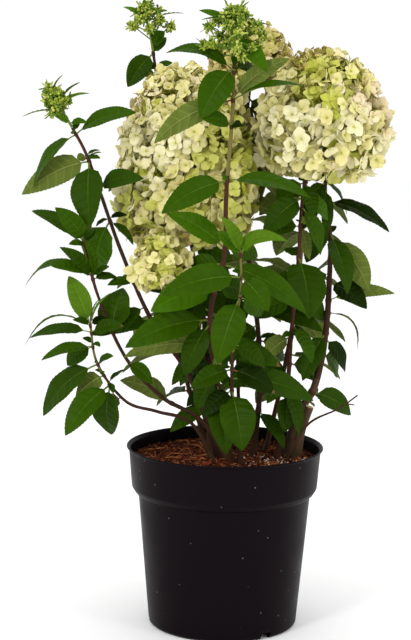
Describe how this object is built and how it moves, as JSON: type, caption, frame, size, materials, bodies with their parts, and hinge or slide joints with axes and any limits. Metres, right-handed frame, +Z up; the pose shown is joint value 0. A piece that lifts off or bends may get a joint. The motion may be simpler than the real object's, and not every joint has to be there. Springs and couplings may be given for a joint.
{
  "type": "panicle hydrangea shrub in a nursery pot",
  "caption": "Panicle hydrangea shrub with cream and lime flower heads, green bud panicles and leafy canes, growing in a round black nursery pot.",
  "frame": {"origin": "centre of the pot's flat underside", "axes": "+Z up along the pot's axis, -Y towards the viewer of the picture, +X to the viewer's right"},
  "size_m": [0.4129, 0.3497, 0.6924],
  "materials": {
    "pot_plastic": "satin",
    "potting_mix": "matte",
    "cane_bark": "matte",
    "leaf_green": "satin",
    "cream_floret": "matte",
    "lime_floret": "matte",
    "straw_floret": "matte",
    "bud_green": "matte"
  },
  "bodies": {
    "root": {"pot": "pot_plastic", "potting_mix": "potting_mix", "cane_tall_left": "cane_bark", "cane_left": "cane_bark", "cane_low_left": "cane_bark", "cane_back_left": "cane_bark", "cane_front": "cane_bark", "cane_front_low": "cane_bark", "cane_back_centre": "cane_bark", "cane_right": "cane_bark", "cane_far_right": "cane_bark", "cane_left_centre": "cane_bark", "cane_rear_left": "cane_bark", "cane_rear_right": "cane_bark", "cane_rear_centre": "cane_bark", "sawn_stub": "cane_bark", "bare_twig": "cane_bark", "shoot_tall_left": "leaf_green", "shoot_left": "leaf_green", "shoot_low_left": "leaf_green", "shoot_back_left": "leaf_green", "shoot_front": "leaf_green", "shoot_front_low": "leaf_green", "shoot_back_centre": "leaf_green", "shoot_right": "leaf_green", "shoot_far_right": "leaf_green", "shoot_left_centre": "leaf_green", "shoot_rear_left": "leaf_green", "shoot_rear_right": "leaf_green", "shoot_rear_centre": "leaf_green", "flower_head_left": "cream_floret", "flower_head_right": "lime_floret", "flower_head_top": "straw_floret", "flower_head_low": "cream_floret", "flower_head_rear_left": "cream_floret", "flower_head_rear_right": "lime_floret", "bud_panicle_left": "bud_green", "bud_panicle_back": "bud_green", "bud_panicle_front": "bud_green"}
  },
  "joints": []
}
